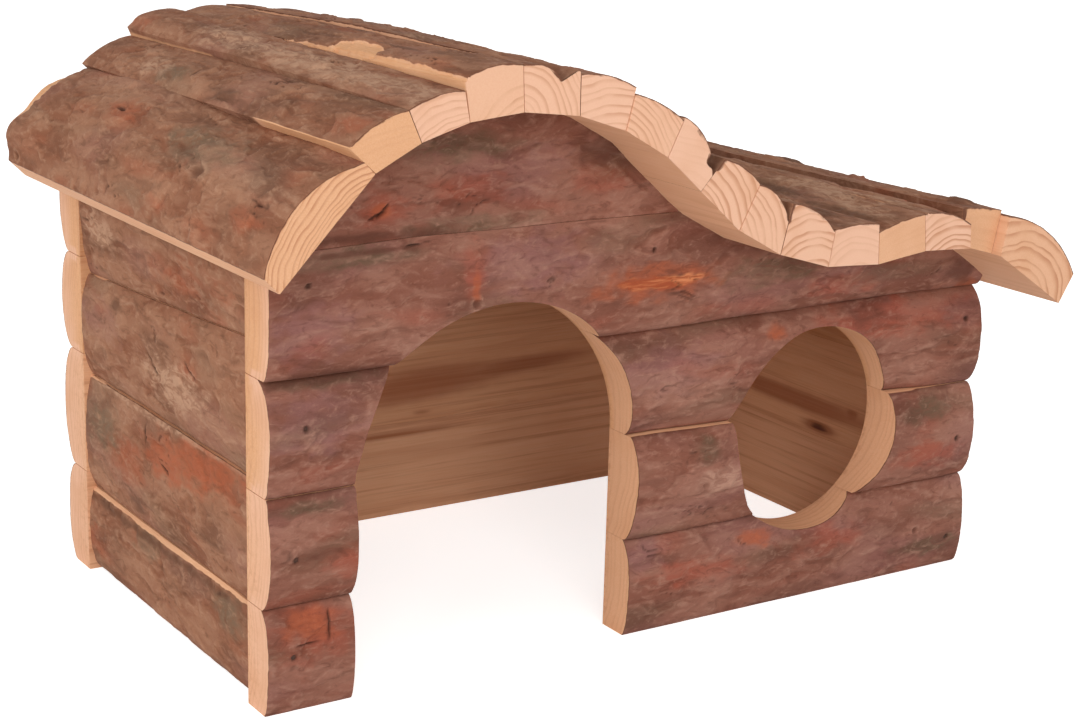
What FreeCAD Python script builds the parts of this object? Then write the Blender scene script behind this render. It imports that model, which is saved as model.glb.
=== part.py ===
# Wooden guinea pig house of bark boards, with an arched door, a round window and a wave roof
# Millimetres. +X runs along the house to the right, the door wall faces -Y, +Z is up.
# The origin is on the ground under the middle of the roof.
import math
import os
import FreeCAD, Part

V = FreeCAD.Vector

# Walls
wall_length = 270.0        # front and back wall, end to end
house_depth = 148.0        # from the front wall's seams to the back wall's seams
front_board = 10.5         # front wall, flat inner face to the nominal seam depth
back_board = 11.5          # back wall, the same
side_board = 11.5          # side walls, the same
side_recess = 5.5          # side wall seams behind the ends of the front and back wall

# Roof wave, the underside of the slats and the sawn top of the walls
crest_from_left = 63.0     # crest of the big wave from the wall's left end
crest_height = 176.5
crest_radius = 84.5
hump_from_right = 50.0     # crest of the small wave from the wall's right end
hump_height = 124.2
hump_radius = 79.0
valley_radius = 89.0
left_eave = 10.5           # roof underside past the wall's left end
right_eave = 6.5           # roof underside past the wall's right end
left_eave_lean = 15        # saw cut of the left eave, degrees steeper than square
right_eave_lean = -14
front_overhang = 33.5      # slat ends in front of the front wall's seams
back_overhang = 9.5        # slat ends behind the back wall's seams

# Door and window in the front wall
door_width = 98.0
door_height = 116.0
door_from_left = 77.0      # middle of the door from the wall's left end
window_radius = 35.0
window_from_right = 71.0   # middle of the window from the wall's right end
window_height = 59.5       # middle of the window above the ground

# Brads that hold the walls together at the corners, driven by hand through the bark
brad_radius = 0.8
brad_length = 26.0
brad_sink = 0.5            # head below the bark
brad_clearance = 0.1
# Distance from the wall's end and height above the ground of each brad
front_left_brads = ((8.2, 17.8), (8.0, 48.3), (11.4, 86.5), (11.9, 127.6))
front_right_brads = ((7.0, 10.9), (7.5, 47.7), (7.0, 90.2))
back_left_brads = ((9.0, 15.0), (10.5, 55.0), (9.5, 93.0), (11.0, 128.0))
back_right_brads = ((9.5, 17.0), (8.5, 54.0), (9.0, 94.0))

# Boards from the ground up: height, lower edge, crown and upper edge beyond the seam depth, and
# rise of the upper seam from the near end to the far end
front_boards = ((32.5, 0.5, 3.5, -1.2, 0), (34.0, -0.8, 5.4, 0.4, 0), (34.5, -0.4, 5.5, -2.6, 0),
                (37.0, 1.2, 5.5, 2.6, 0), (42.0, 2.2, 4.8, 1.0, 0))
back_boards = ((35.5, 0.0, 6.0, -0.8, 0), (40.5, -0.4, 6.8, -1.2, 0), (33.5, -0.8, 6.8, -0.4, 0),
               (33.5, -0.2, 6.2, 0.0, 0), (38.0, 0.4, 6.0, 0.6, 0))
left_boards = ((29.5, -0.4, 5.6, 1.6, 0), (39.0, -1.0, 6.2, -1.4, 0), (41.5, -0.6, 6.4, -0.8, -6.5),
               (58.0, 0.6, 6.6, 0.4, 0))
right_boards = ((33.0, -0.6, 5.6, -0.6, 0), (37.0, 0.2, 6.2, -1.0, 0), (46.0, -0.4, 6.0, 0.4, 0))
shoulder_rise = 7.0        # height of the rounded shoulder at a board's edges
shoulder_depth = 0.78      # part of the crown that the shoulder has reached there

# Roof slats from the left eave: width along the wave; left edge, crown and right edge at the
# front; growth of the log at mid-length and at the back; drift of its crown to the right at the
# back; lean of the right side from square; and set-back of the front end
slats = (
    (40.9, 6.4, 12.1, 4.4, 1.9, 2.8, 2.4, -15, 0),
    (15.6, 10.6, 11.5, 9.9, -0.2, -1.2, 0, -2, 0),
    (15.5, 9.9, 10.6, 8.8, 2.2, 3.4, 0, 1, 0),
    (17.3, 12.0, 14.2, 13.2, -0.8, -2.6, 0, -3, 0),
    (18.4, 13.1, 13.3, 12.6, 0.7, -1.9, 0, -13, 0),
    (16.5, 11.6, 13.3, 12.6, -0.5, -0.6, 0, -9, 0),
    (17.1, 10.8, 12.1, 11.6, 0.8, 0.9, 0, -9, 0),
    (16.5, 12.6, 11.8, 6.0, -0.5, 0.8, 0, -4, 0),
    (19.8, 12.2, 14.9, 15.2, 0.7, -1.2, 0, -7, 0),
    (18.3, 15.0, 14.5, 10.3, -0.6, -1.0, 0, -9, 0),
    (20.0, 15.8, 15.4, 11.0, -0.9, -0.4, 2.0, 0, 0),
    (20.5, 11.7, 13.0, 13.0, -0.4, 0.3, 0, 0, 0),
    (19.6, 10.3, 11.9, 12.1, 0.9, 0.6, -1.0, -2, 0),
    (19.7, 12.1, 11.4, 8.0, -0.4, 0.8, 0.8, -14, 0),
    (14.0, 12.6, 14.0, 14.6, -0.9, -1.2, 0, -8, 4.0),
    (35.0, 13.2, 16.4, 11.0, -0.2, -1.2, 0, -14, 0))
furrow_slat = 5            # the slat with a furrow down its bark
furrow_from_right = 5.7    # middle of the furrow from the slat's right side
furrow_width = 5.4
furrow_depth = 3.6

# Where the walls stand
roof_length = front_overhang + house_depth + back_overhang
front_seam_y = front_overhang - roof_length / 2
front_inner_y = front_seam_y + front_board
back_inner_y = front_seam_y + house_depth - back_board
left_end_x = -wall_length / 2
right_end_x = wall_length / 2
side_inset = side_recess + side_board
side_length = back_inner_y - front_inner_y
sky = 2 * crest_height


# The wave: crest arc, valley arc and hump arc, each tangent to the next
crest_centre = V(left_end_x + crest_from_left, 0, crest_height - crest_radius)
hump_centre = V(right_end_x - hump_from_right, 0, hump_height - hump_radius)
to_hump = hump_centre - crest_centre
reach_crest = crest_radius + valley_radius
reach_hump = hump_radius + valley_radius
along = (reach_crest ** 2 - reach_hump ** 2 + to_hump.Length ** 2) / (2 * to_hump.Length)
above = math.sqrt(reach_crest ** 2 - along ** 2)
line = to_hump / to_hump.Length
valley_centre = crest_centre + line * along + V(-line.z, 0, line.x) * above


def angle_of(centre, point):
    return math.atan2(point.z - centre.z, point.x - centre.x)


def polar(centre, radius, angle):
    return centre + V(math.cos(angle), 0, math.sin(angle)) * radius


# Each stretch: centre, radius, first and last angle; the valley turns the other way
crest_start = math.acos((left_end_x - left_eave - crest_centre.x) / crest_radius)
crest_end = angle_of(crest_centre, valley_centre)
hump_start = angle_of(hump_centre, valley_centre)
hump_end = math.acos((right_end_x + right_eave - hump_centre.x) / hump_radius)
stretches = ((crest_centre, crest_radius, crest_start, crest_end),
             (valley_centre, valley_radius, crest_end - math.pi, hump_start - math.pi),
             (hump_centre, hump_radius, hump_start, hump_end))
stretch_lengths = [r * abs(a1 - a0) for c, r, a0, a1 in stretches]
wave_length = sum(stretch_lengths)


# Point on the wave, and its outward direction, at a distance along it from the left eave
def wave_point(s):
    for (centre, radius, a0, a1), length in zip(stretches, stretch_lengths):
        if s <= length or centre is hump_centre:
            angle = a0 + (a1 - a0) * s / length
            outward = V(math.cos(angle), 0, math.sin(angle))
            return centre + outward * radius, outward * (1 if a1 < a0 else -1)
        s -= length


def prism(edges, direction):
    return Part.Face(Part.Wire(edges)).extrude(direction)


def seg(a, b):
    return Part.LineSegment(a, b).toShape()


# Straight edges through the corners and back to the first
def outline_of(*corners):
    return [seg(a, b) for a, b in zip(corners, corners[1:] + corners[:1])]


# Slats are laid from the left eave; the last fills what is left at the right eave.
# Each has its two joints on the wave, the leans of its sides and its row of the table.
laid = []
s = 0.0
lean_before = left_eave_lean
while s < wave_length:
    row = slats[len(laid) % (len(slats) - 1)]
    end = s + row[0]
    if wave_length - s < slats[-1][0] + slats[-2][0] / 2:
        row = slats[-1]
        end = wave_length
    lean = right_eave_lean if row is slats[-1] else row[7]
    laid.append((s, end, lean_before, lean, row))
    lean_before = lean
    s = end

# Everything above the slats' flat undersides, to saw the tops of the walls
feet = [wave_point(s0)[0] for s0, s1, lean0, lean1, row in laid] + [wave_point(wave_length)[0]]
above_wave = prism(outline_of(*feet, V(feet[-1].x, 0, sky), V(feet[0].x, 0, sky)),
                   V(0, 2 * roof_length, 0))
above_wave.translate(V(0, -roof_length, 0))


# Section of a half-round board: flat inside, bark crown outside
def board_section(corner, outward, base, top, edge_depth, low, crown, high):
    def at(depth, z):
        return corner + outward * depth + V(0, 0, z)

    lower = edge_depth + low
    upper = edge_depth + high
    peak = edge_depth + crown
    low_depth = lower + (peak - lower) * shoulder_depth
    high_depth = upper + (peak - upper) * shoulder_depth
    low_shoulder = at(low_depth, base + shoulder_rise)
    high_shoulder = at(high_depth, top - shoulder_rise)
    low_turn = at((lower + low_depth) / 2, base + shoulder_rise * 0.3)
    high_turn = at((upper + high_depth) / 2, top - shoulder_rise * 0.3)
    return Part.Wire([seg(at(0, base), at(lower, base)),
                      Part.Arc(at(lower, base), low_turn, low_shoulder).toShape(),
                      Part.Arc(low_shoulder, at(peak, (base + top) / 2), high_shoulder).toShape(),
                      Part.Arc(high_shoulder, high_turn, at(upper, top)).toShape(),
                      seg(at(upper, top), at(0, top)),
                      seg(at(0, top), at(0, base))])


# A wall is a stack of boards sawn off along the wave
def stack(corner, outward, run, edge_depth, boards):
    solids = []
    base = 0.0
    base_rise = 0.0
    for height, low, crown, high, rise in boards:
        top = base + height
        near = board_section(corner, outward, base, top, edge_depth, low, crown, high)
        if rise or base_rise:
            far = board_section(corner + run, outward, base + base_rise, top + rise, edge_depth,
                                low, crown, high)
            whole = Part.makeLoft([near, far], True, True)
        else:
            whole = Part.Face(near).extrude(run)
        solids.append(whole.cut(above_wave))
        base = top
        base_rise = rise
    return solids


front = stack(V(left_end_x, front_inner_y, 0), V(0, -1, 0), V(wall_length, 0, 0),
              front_board, front_boards)
back = stack(V(left_end_x, back_inner_y, 0), V(0, 1, 0), V(wall_length, 0, 0),
             back_board, back_boards)
left = stack(V(left_end_x + side_inset, front_inner_y, 0), V(-1, 0, 0),
             V(0, side_length, 0), side_board, left_boards)
right = stack(V(right_end_x - side_inset, front_inner_y, 0), V(1, 0, 0),
              V(0, side_length, 0), side_board, right_boards)

# Door arch and round window, sawn straight through the front wall
door_x = left_end_x + door_from_left
door_r = door_width / 2
spring = door_height - door_r
door_edges = [seg(V(door_x - door_r, 0, -1), V(door_x - door_r, 0, spring)),
              Part.Arc(V(door_x - door_r, 0, spring), V(door_x, 0, door_height),
                       V(door_x + door_r, 0, spring)).toShape(),
              seg(V(door_x + door_r, 0, spring), V(door_x + door_r, 0, -1)),
              seg(V(door_x + door_r, 0, -1), V(door_x - door_r, 0, -1))]
door_cut = prism(door_edges, V(0, -2 * roof_length, 0))
window_x = right_end_x - window_from_right
window_cut = Part.makeCylinder(window_radius, 2 * roof_length, V(window_x, 0, window_height),
                               V(0, -1, 0))
front = [b.cut(door_cut).cut(window_cut) for b in front]


# Depth of a wall's bark at a height above the ground, straight between edge and crown
def bark_depth(boards, edge_depth, z):
    base = 0.0
    for height, low, crown, high, rise in boards:
        if z <= base + height:
            inside = min(z - base, base + height - z)
            edge = low if z - base < height / 2 else high
            share = min(1.0, inside / shoulder_rise) * shoulder_depth
            share += max(0.0, inside - shoulder_rise) / (height / 2 - shoulder_rise) * 0.2
            return edge_depth + edge + (crown - edge) * share
        base += height


# Brads through a wall into the end grain of both side walls, and the holes they sit in
def brads_of(boards, edge_depth, inner_y, outward, left_brads, right_brads):
    places = [(left_end_x + inset, z) for inset, z in left_brads]
    places += [(right_end_x - inset, z) for inset, z in right_brads]
    pins = []
    holes = []
    for x, z in places:
        depth = bark_depth(boards, edge_depth, z) - brad_sink
        head = V(x, inner_y, z) + outward * depth
        inward = outward * -1
        pins.append(Part.makeCylinder(brad_radius, brad_length, head, inward))
        holes.append(Part.makeCylinder(brad_radius + brad_clearance, brad_length + 20,
                                       head + outward * 20, inward))
    return pins, holes


front_pins, front_holes = brads_of(front_boards, front_board, front_inner_y, V(0, -1, 0),
                                   front_left_brads, front_right_brads)
back_pins, back_holes = brads_of(back_boards, back_board, back_inner_y, V(0, 1, 0),
                                 back_left_brads, back_right_brads)
bores = Part.makeCompound(front_holes + back_holes)
front = [b.cut(bores) for b in front]
back = [b.cut(bores) for b in back]
left = [b.cut(bores) for b in left]
right = [b.cut(bores) for b in right]


# Circle through three points of the XZ plane
def circle_through(a, b, c):
    circle = Part.Arc(a, b, c).toShape().Curve
    return circle.Center, circle.Radius


# Roof slat: flat underside between two joints and sawn sides, under a log surface that bends at
# mid-length
def slat(s0, s1, lean0, lean1, row):
    width, left_edge, crown, right_edge, middle_growth, back_growth, drift, lean, set_back = row
    foot0, out0 = wave_point(s0)
    foot1, out1 = wave_point(s1)
    across = (foot1 - foot0) / (foot1 - foot0).Length
    out = V(-across.z, 0, across.x)
    side0 = FreeCAD.Rotation(V(0, 1, 0), lean0).multVec(out0)
    side1 = FreeCAD.Rotation(V(0, 1, 0), lean1).multVec(out1)
    middle = (foot0 + foot1) / 2
    reach = max(left_edge, crown, right_edge) + 5
    wedge = prism(outline_of(foot0, foot1, foot1 + side1 * reach, middle + out * 2 * reach,
                             foot0 + side0 * reach), V(0, roof_length - set_back, 0))
    wedge.translate(V(0, set_back, 0))

    # The log's rounding runs 5 mm past both sides, then down and away from them
    top0 = foot0 + side0 * left_edge
    top1 = foot1 + side1 * right_edge
    peak = middle + out * crown
    centre, radius = circle_through(top0, peak, top1)
    margin = 5.0 / radius
    end0 = polar(centre, radius, angle_of(centre, top0) + margin)
    end1 = polar(centre, radius, angle_of(centre, top1) - margin)
    base0 = end0 - (out * 3 + across) * reach
    base1 = end1 - (out * 3 - across) * reach
    profile = [Part.Arc(end0, peak, end1).toShape(), seg(end1, base1), seg(base1, base0),
               seg(base0, end0)]
    half = V(0, roof_length / 2, 0)
    to_middle = half + out * middle_growth + across * (drift / 2)
    to_back = half * 2 + out * back_growth + across * drift
    front_half = prism(profile, to_middle)
    back_half = prism(profile, to_back - to_middle)
    back_half.translate(to_middle)
    body = wedge.common(front_half.fuse(back_half))
    body.translate(V(0, -roof_length / 2, 0))
    return body


# Furrow down the bark, beside the slat's right side
def furrow(s0, s1, lean0, lean1, row):
    foot, square = wave_point(s1)
    side = FreeCAD.Rotation(V(0, 1, 0), lean1).multVec(square)
    left_of = V(-square.z, 0, square.x)
    bottom = foot + side * (row[3] + 0.4 - furrow_depth) + left_of * furrow_from_right
    rim = bottom + side * 2 * furrow_depth
    groove = prism(outline_of(bottom, rim + left_of * furrow_width, rim - left_of * furrow_width),
                   V(0, 2 * roof_length, 0))
    groove.translate(V(0, -roof_length, 0))
    return groove


roof = [slat(*place) for place in laid]
roof[furrow_slat - 1] = roof[furrow_slat - 1].cut(furrow(*laid[furrow_slat - 1]))

parts = {}


# Pieces of one board, from left to right
def pieces(shape):
    return sorted(shape.Solids, key=lambda piece: piece.CenterOfMass.x)


first = pieces(front[0])
second = pieces(front[1])
third = pieces(front[2])
parts["front_wall_left_board_1"] = first[0]
parts["front_wall_left_board_2"] = second[0]
parts["front_wall_left_board_3"] = third[0]
parts["front_wall_right_board_1"] = first[1]
parts["front_wall_middle_board_2"] = second[1]
parts["front_wall_right_board_2"] = second[2]
parts["front_wall_right_board_3"] = third[1]
parts["front_wall_arch_board"] = front[3]
parts["front_wall_crest_board"] = front[4]
for n, shape in enumerate(back, 1):
    parts["back_wall_board_%d" % n] = shape
for n, shape in enumerate(left, 1):
    parts["left_side_board_%d" % n] = shape
for n, shape in enumerate(right, 1):
    parts["right_side_board_%d" % n] = shape
for n, shape in enumerate(roof, 1):
    parts["roof_slat_%02d" % n] = shape
parts["front_wall_brads"] = Part.makeCompound(front_pins)
parts["back_wall_brads"] = Part.makeCompound(back_pins)

# The origin goes under the middle of the roof
middle_x = Part.makeCompound(roof).BoundBox.Center.x
os.makedirs("parts", exist_ok=True)
for name, shape in parts.items():
    shape.translate(V(-middle_x, 0, 0))
    shape.exportStep("parts/%s.step" % name)
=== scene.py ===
# Wooden guinea pig house: bark boards with sawn edges, a wave roof of bark slats and steel brads
import math

import bmesh
import bpy
import numpy as np
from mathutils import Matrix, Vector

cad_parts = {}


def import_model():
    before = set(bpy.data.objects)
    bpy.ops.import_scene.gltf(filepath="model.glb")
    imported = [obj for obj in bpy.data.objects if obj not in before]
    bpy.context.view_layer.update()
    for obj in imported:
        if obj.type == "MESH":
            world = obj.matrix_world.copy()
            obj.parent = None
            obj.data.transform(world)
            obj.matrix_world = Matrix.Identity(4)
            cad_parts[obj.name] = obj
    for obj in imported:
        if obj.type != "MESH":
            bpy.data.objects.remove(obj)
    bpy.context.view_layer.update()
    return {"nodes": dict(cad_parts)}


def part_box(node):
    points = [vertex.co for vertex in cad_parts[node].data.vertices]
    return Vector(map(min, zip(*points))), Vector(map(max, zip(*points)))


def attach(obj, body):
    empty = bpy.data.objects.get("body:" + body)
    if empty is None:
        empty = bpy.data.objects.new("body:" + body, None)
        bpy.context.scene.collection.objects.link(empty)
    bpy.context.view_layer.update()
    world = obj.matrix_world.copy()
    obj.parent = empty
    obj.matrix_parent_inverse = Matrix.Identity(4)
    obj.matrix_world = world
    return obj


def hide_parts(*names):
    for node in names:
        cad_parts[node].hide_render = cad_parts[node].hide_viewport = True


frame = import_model()

# Lengths below are millimetres; meshes are written in metres
MM = 0.001


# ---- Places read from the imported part

def low(node, axis):
    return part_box(node)[0][axis] / MM


def high(node, axis):
    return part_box(node)[1][axis] / MM


left_end = low("front_wall_arch_board", 0)
right_end = high("front_wall_arch_board", 0)
front_inner = high("front_wall_left_board_1", 1)
back_inner = low("back_wall_board_1", 1)
left_inner = high("left_side_board_1", 0)
right_inner = low("right_side_board_1", 0)
roof_front = low("roof_slat_04", 1)
roof_back = high("roof_slat_04", 1)
roof_length = roof_back - roof_front
wall_length = right_end - left_end
side_length = back_inner - front_inner

# Board thickness at the seams
FRONT_BOARD = 10.5
BACK_BOARD = 11.5
SIDE_BOARD = 11.5

# Boards from the ground up: height; lower edge, crown and upper edge beyond the seam depth; and
# rise of the upper seam from the near end to the far end
FRONT_BOARDS = ((32.5, 0.5, 3.5, -1.2, 0), (34.0, -0.8, 5.4, 0.4, 0), (34.5, -0.4, 5.5, -2.6, 0),
                (37.0, 1.2, 5.5, 4.9, 0), (42.0, 4.8, 4.8, 1.0, 0))
BACK_BOARDS = ((35.5, 0.0, 6.0, -0.8, 0), (40.5, -0.4, 6.8, -1.2, 0), (33.5, -0.8, 6.8, -0.4, 0),
               (33.5, -0.2, 6.2, 0.0, 0), (38.0, 0.4, 6.0, 0.6, 0))
LEFT_BOARDS = ((29.5, 0.6, 5.0, 2.8, 0), (39.0, 1.7, 5.4, 2.6, 0), (41.5, 1.6, 5.6, 2.6, -6.5),
               (58.0, 1.9, 5.6, 0.6, 0))
RIGHT_BOARDS = ((33.0, -0.6, 5.6, -0.6, 0), (37.0, 0.2, 6.2, -1.0, 0), (46.0, -0.4, 6.0, 0.4, 0))

# Door, with the height at which its arch springs, and window in the front wall
DOOR_RADIUS = 49.0
DOOR_SPRING = 67.0
DOOR_X = left_end + 77.0
WINDOW_RADIUS = 35.0
WINDOW_X = right_end - 71.0
WINDOW_Z = 59.5

# Brad heads: distance from the wall's left end and height above the ground
FRONT_BRADS = ((8.2, 17.8), (8.0, 48.3), (11.4, 86.5), (11.9, 127.6),
               (263.0, 10.9), (262.5, 47.7), (263.0, 90.2))
BACK_BRADS = ((9.0, 15.0), (10.5, 55.0), (9.5, 93.0), (11.0, 128.0),
              (260.5, 17.0), (261.5, 54.0), (261.0, 94.0))

# The roof's wave: crest arc, valley arc and hump arc
CREST_X = left_end + 63.0
CREST_HEIGHT = 176.5
CREST_RADIUS = 84.5
HUMP_X = right_end - 50.0
HUMP_HEIGHT = 124.2
HUMP_RADIUS = 79.0
VALLEY_RADIUS = 89.0
LEFT_EAVE = 10.5
RIGHT_EAVE = 6.5
LEFT_EAVE_LEAN = 15

# Slats from the left eave: width; left edge, crown and right edge at the front; growth at
# mid-length and at the back; drift to the right at the back; lean of the right side; set-back
SLATS = ((40.9, 6.4, 12.1, 4.4, 1.9, 2.8, 2.4, -15, 0),
         (15.6, 10.6, 11.5, 9.9, -0.2, -1.2, 0, -2, 0), (15.5, 9.9, 10.6, 8.8, 2.2, 3.4, 0, 1, 0),
         (17.3, 12.0, 14.2, 13.2, -0.8, -2.6, 0, -3, 0),
         (18.4, 13.1, 13.3, 12.6, 0.7, -1.9, 0, -13, 0),
         (16.5, 11.6, 13.3, 12.6, -0.5, -0.6, 0, -9, 0),
         (17.1, 10.8, 12.1, 11.6, 0.8, 0.9, 0, -9, 0),
         (16.5, 12.6, 11.8, 6.0, -0.5, 0.8, 0, -4, 0),
         (19.8, 12.2, 14.9, 15.2, 0.7, -1.2, 0, -7, 0),
         (18.3, 15.0, 14.5, 10.3, -0.6, -1.0, 0, -9, 0),
         (20.0, 15.8, 15.4, 11.0, -0.9, -0.4, 2.0, 0, 0),
         (20.5, 11.7, 13.0, 13.0, -0.4, 0.3, 0, 0, 0),
         (19.6, 10.3, 11.9, 12.1, 0.9, 0.6, -1.0, -2, 0),
         (19.7, 12.1, 11.4, 8.0, -0.4, 0.8, 0.8, -14, 0),
         (14.0, 12.6, 14.0, 14.6, -0.9, -1.2, 0, -8, 4.0),
         (35.0, 13.2, 16.4, 11.0, -0.2, -1.2, 0, -14, 0))

# Grain of each slat: pith to the right of and above the underside's middle, ring width, ring
# strength, radius beyond which no rings show, and how tan the wood is
SLAT_GRAIN = ((30.0, -20.0, 1.5, 0.9, 99, 0.7), (6.0, -30.0, 2.4, 0.12, 99, 0.8),
              (8.5, -19.0, 1.9, 0.5, 99, 0.15), (12.0, -13.0, 2.3, 0.55, 22, 0.35),
              (-11.2, -2.0, 2.2, 0.5, 99, 0.2), (1.4, -23.0, 2.2, 0.55, 99, 0.1),
              (-22.3, -13.7, 1.8, 0.6, 99, 0.3), (-8.0, -26.0, 2.6, 0.1, 99, 0.0),
              (-18.2, -8.8, 2.5, 0.75, 99, 0.2), (-16.4, -3.1, 2.4, 0.6, 99, 0.25),
              (3.9, -8.6, 2.6, 0.75, 99, 0.15), (1.9, -8.0, 2.5, 0.2, 99, 0.0),
              (12.0, -30.0, 2.8, 0.1, 99, 0.6), (4.7, -12.8, 2.5, 0.85, 99, 0.05),
              (-6.0, -34.0, 2.6, 0.15, 99, 0.7), (-7.1, -9.7, 3.2, 0.85, 99, 0.5))

# Slats whose left side is covered by bark, with the bark's thickness on the front end; and bare
# stretches of such sides: from and to, along the roof, and the share of the side's height
WRAPPED_SIDES = {2: 0.1, 3: 0.1, 6: 0.1, 9: 1.0, 11: 0.8, 15: 2.6}
BARE_SIDES = {2: (-10, 62, 1.1), 3: (122, 200, 0.9)}

# Furrow in one slat: place, depth, and widths of its round left and straight right flank at the
# front and further back
FURROW_SLAT = 5
FURROW_FROM_RIGHT = 5.2
FURROW_DEPTH = 3.9
FURROW_LEFT = (8.5, 3.6)
FURROW_RIGHT = (4.8, 2.8)

# Mesh spacing on the bark, share of the bark's relief on the roof, thickness of the bark's dark
# rim on sawn wood, gap in a joint, and sanding of a sawn end's edge
STEP = 0.65
ROOF_RELIEF = 1.3
BARK_SKIN = 0.38
GAP = 0.04
SANDING = 0.1

# Wood nearer than this to a sawn end is on it; a bare mask above this share shows wood; and a
# depth under the bark at which no rim shows
ON_END = 0.1
BARE_WOOD = 0.3
NO_RIM = 9


# ---- Repeatable noise on arrays

def scramble(ix, iy, seed):
    n = (ix * 374761393 + iy * 668265263 + seed * 974634777) & 0xFFFFFFFF
    n = ((n ^ (n >> 13)) * 1274126177) & 0xFFFFFFFF
    return (n ^ (n >> 16)) / 0xFFFFFFFF


def corner_pull(ix, iy, x, y, seed):
    angle = scramble(ix, iy, seed) * 2 * math.pi
    return np.cos(angle) * (x - ix) + np.sin(angle) * (y - iy)


# Smooth noise, about -1 to 1
def noise(x, y, seed):
    ix = np.floor(x).astype(np.int64)
    iy = np.floor(y).astype(np.int64)
    fx = x - ix
    fy = y - iy
    fx = fx ** 3 * (fx * (fx * 6 - 15) + 10)
    fy = fy ** 3 * (fy * (fy * 6 - 15) + 10)
    near = corner_pull(ix, iy, x, y, seed) * (1 - fx) + corner_pull(ix + 1, iy, x, y, seed) * fx
    far = (corner_pull(ix, iy + 1, x, y, seed) * (1 - fx)
           + corner_pull(ix + 1, iy + 1, x, y, seed) * fx)
    return 1.5 * (near * (1 - fy) + far * fy)


def layered_noise(x, y, seed, octaves=3):
    total = 0.0
    for octave in range(octaves):
        total = total + noise(x * 2 ** octave, y * 2 ** octave, seed + 17 * octave) / 2 ** octave
    return total


def smooth_step(value, start, end):
    t = np.clip((value - start) / (end - start), 0, 1)
    return t * t * (3 - 2 * t)


# ---- Bark: flaking layers, cracks, knots and torn places

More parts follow.
